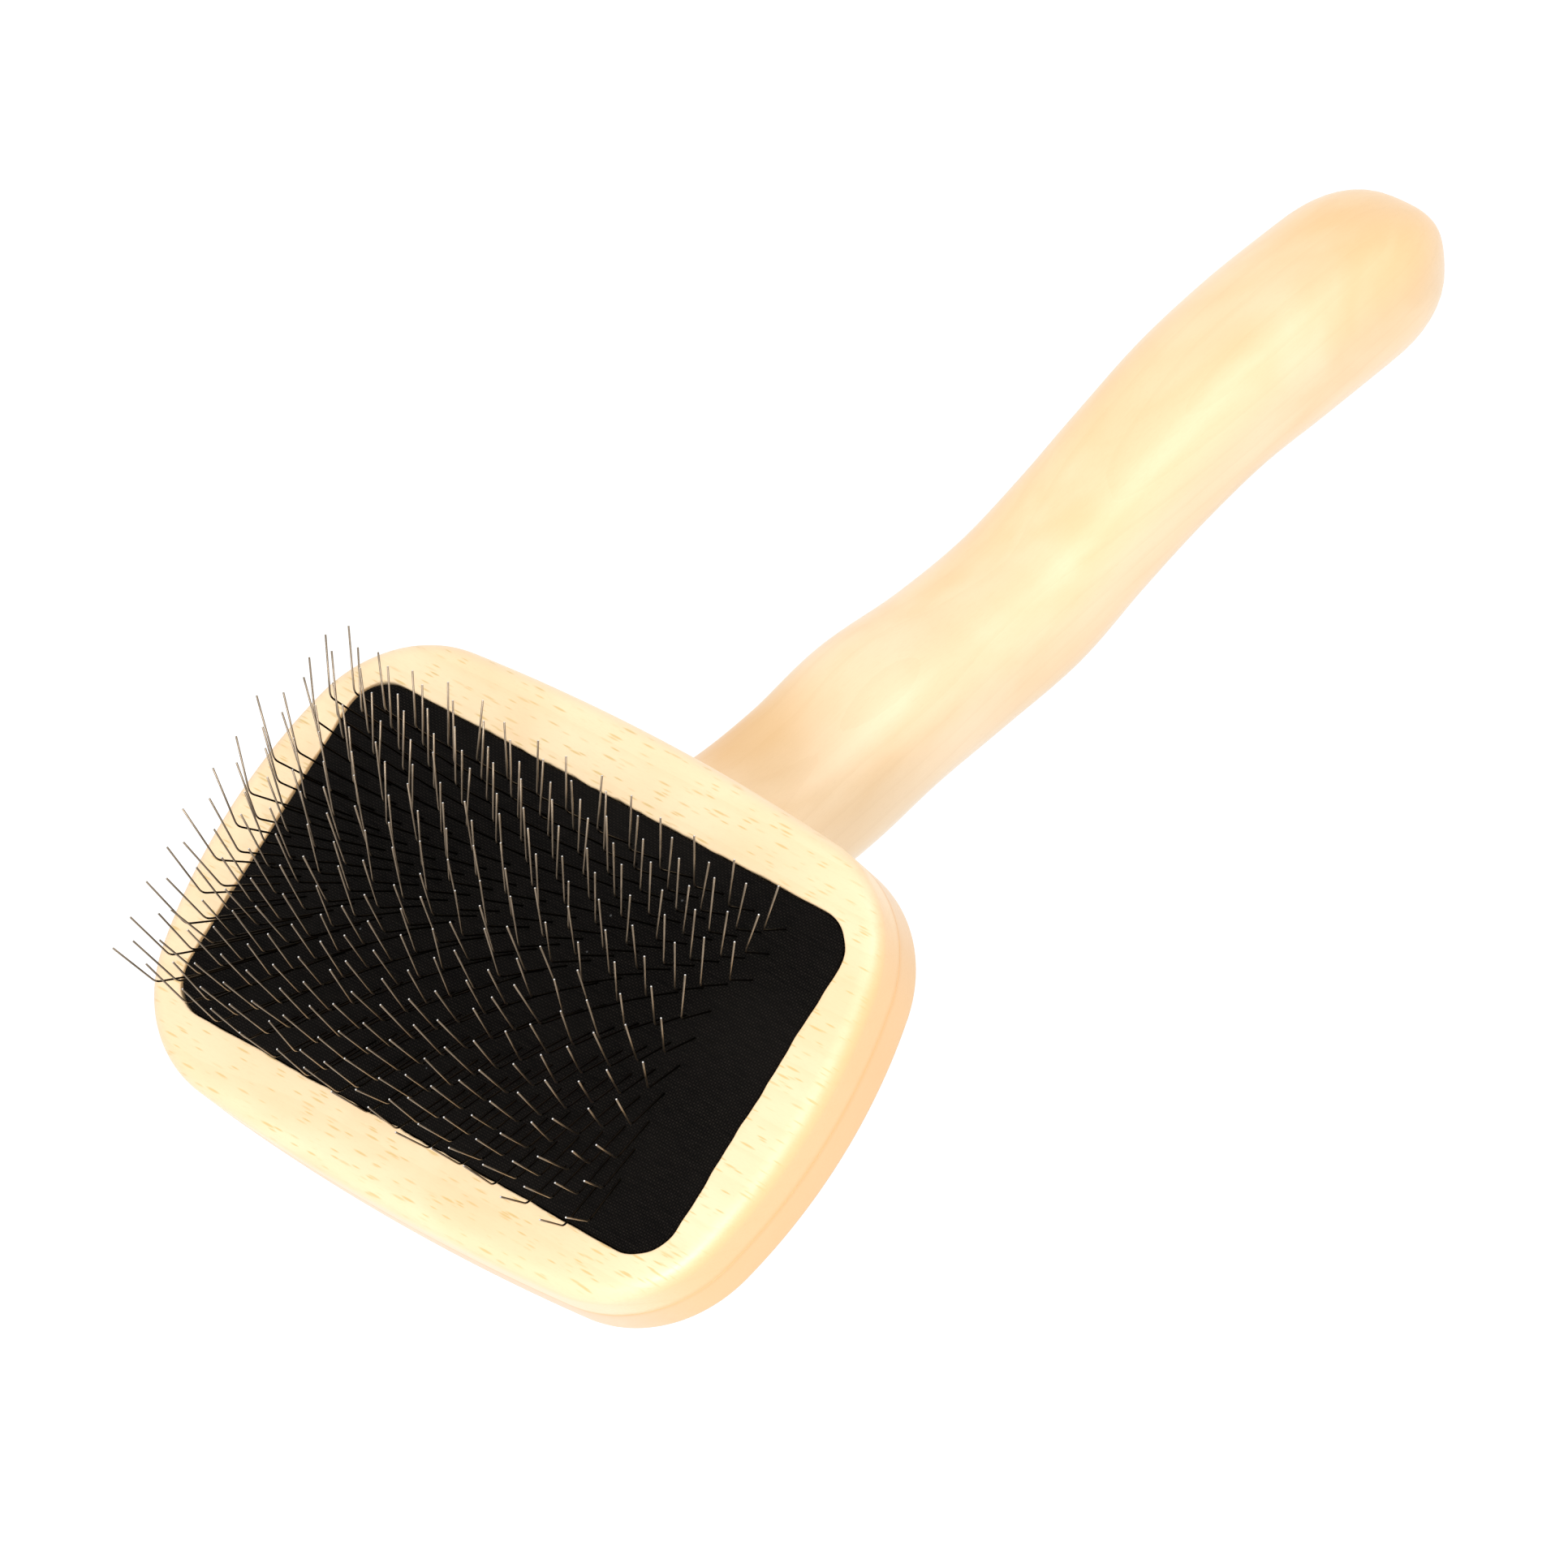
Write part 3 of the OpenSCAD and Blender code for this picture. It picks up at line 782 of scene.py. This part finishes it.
def pale_floor():
    """Plain white floor with a glow of its own, so it stays pale beside the brush."""
    made, _, shader = new_material("pale_floor")
    shader.inputs["Base Color"].default_value = (0.25, 0.25, 0.25, 1)
    shader.inputs["Roughness"].default_value = 0.9
    shader.inputs["Specular IOR Level"].default_value = 0.1
    shader.inputs["Emission Color"].default_value = (1, 1, 1, 1)
    shader.inputs["Emission Strength"].default_value = 0.85
    return made


def give(obj, *materials):
    """Sets the object's materials in its own slots, whatever it had."""
    while len(obj.data.materials) > 0:
        obj.data.materials.pop()
    for material in materials:
        obj.data.materials.append(material)


def reslot(name, material):
    """A CAD node keeps its mesh and gets a better material."""
    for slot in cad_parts[name].material_slots:
        slot.material = material


# ---------------------------------------------------------------- scene

def add_camera():
    """A far camera that looks at CAMERA_AIM, rolled about its line of sight."""
    data = bpy.data.cameras.new("camera")
    data.lens = CAMERA_LENS_MM
    data.sensor_width = SENSOR_MM
    data.clip_start = 0.05
    data.clip_end = 20
    made = bpy.data.objects.new("camera", data)
    bpy.context.collection.objects.link(made)
    look = (CAMERA_AIM - CAMERA_PLACE).to_track_quat("-Z", "Y")
    made.location = CAMERA_PLACE
    made.rotation_mode = "QUATERNION"
    made.rotation_quaternion = look @ Quaternion((0, 0, 1), CAMERA_ROLL)
    bpy.context.scene.camera = made


def add_softbox(name, place, size, power):
    """A square white area light that faces the brush."""
    data = bpy.data.lights.new(name, "AREA")
    data.shape = "SQUARE"
    data.size = size
    data.energy = power
    made = bpy.data.objects.new(name, data)
    bpy.context.collection.objects.link(made)
    made.location = place
    made.rotation_euler = (LIGHT_AIM - Vector(place)).to_track_quat("-Z", "Y").to_euler()


def add_studio():
    """World, softboxes and floor. The floor lights nothing and casts no shadow, so the brush is
    lit evenly from all round."""
    world = bpy.data.worlds.new("studio")
    world.use_nodes = True
    background = world.node_tree.nodes["Background"]
    background.inputs["Color"].default_value = (1, 1, 1, 1)
    background.inputs["Strength"].default_value = WORLD_STRENGTH
    bpy.context.scene.world = world
    for name, (place, size, power) in SOFTBOXES.items():
        add_softbox(name, place, size, power)
    reach = FLOOR_SIDE / 2
    z = cad_box[0][2] - FLOOR_DROP
    corners = [(-reach, -reach, z), (reach, -reach, z), (reach, reach, z), (-reach, reach, z)]
    floor = make_object("floor", corners, [(0, 1, 2, 3)], smooth=False)
    give(floor, pale_floor())
    floor.visible_diffuse = False
    floor.visible_shadow = False
    bpy.context.scene.view_settings.view_transform = "Standard"


def build():
    """Every visible piece, on its body, in place of its CAD nodes."""
    head_grain = (0, 0, 0)
    handle_grain = (math.radians(27), 0, math.radians(-90))
    front = front_frame()
    give(front, beech("beech_front", head_grain, (3, 40, 7), FRONT_TONES, fleck_share=0.75,
                      coat=0.5, glue_line=True))
    board = back_board()
    give(board, beech("beech_back", head_grain, (90, -15, 31), BACK_TONES, fleck_share=0.3,
                      coat=0.5, glue_line=True))
    grip = handle()
    # The grip's colour holds painted shade at its neck, under the head.
    give(grip, beech("beech_grip", handle_grain, (21, 7, -12), GRIP_TONES, fleck_share=0.05,
                     coat=1.0, painted_shade_and_tone=GRIP_PAINTED_SHADE_AND_TONE))
    weave = woven_black()
    cloth = pad_skin(pin_exits())
    give(cloth, weave)
    foam = foam_block()
    give(foam, grey_foam())
    for piece in (front, board, grip, foam):
        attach(piece, "head")
    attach(cloth, "pad")
    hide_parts("front_frame")
    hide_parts("back_board")
    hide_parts("handle")
    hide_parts("face_cloth", "foundation_cloth")
    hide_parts("foam_cushion")
    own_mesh(foam)
    reslot("cloth_margin", weave)
    reslot("handle_screws", plated_screw())
    # Below the knees the wire is near-black: painted shade.
    wire = [wire_steel("wire_steel", *WIRE_TONES), wire_steel("wire_painted_shade", *PAINTED_SHADE_WIRE_TONES),
            cut_steel()]
    draw = np.random.default_rng(SEED)
    for i in range(PIN_ROWS):
        name = f"pin_row_{i + 1}"
        row = pin_row(name, draw)
        give(row, *wire)
        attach(row, "pad")
        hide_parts(name)


add_camera()
add_studio()
build()
